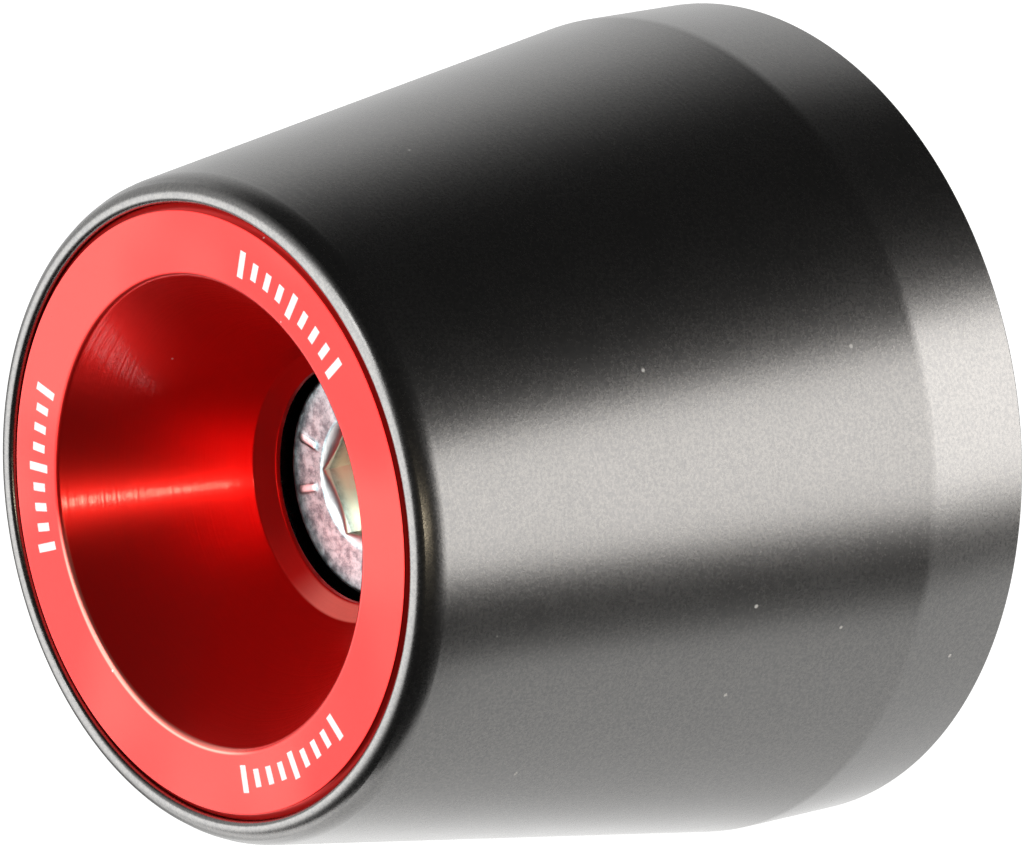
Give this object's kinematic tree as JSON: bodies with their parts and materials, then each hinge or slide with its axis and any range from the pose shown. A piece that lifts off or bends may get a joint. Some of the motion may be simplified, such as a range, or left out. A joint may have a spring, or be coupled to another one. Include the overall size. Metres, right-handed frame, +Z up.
{
  "type": "bar end weight",
  "caption": "Conical turned handlebar end weight with a funnel-shaped trim insert and a socket head clamp screw.",
  "frame": {"origin": "on the bar's axis, in the plane of the face that seats on the bar's end", "axes": "+Y along the bar's axis into the bar, -Y out of the open small end, +Z up"},
  "size_m": [0.0355, 0.0399, 0.0354],
  "materials": {
    "body_black": "black anodised, satin",
    "trim_red": "red anodised, fine turned",
    "screw_zinc": "bright zinc plated"
  },
  "bodies": {
    "root": {"weight_body": "body_black", "trim_insert": "trim_red", "clamp_screw": "screw_zinc"}
  },
  "joints": []
}
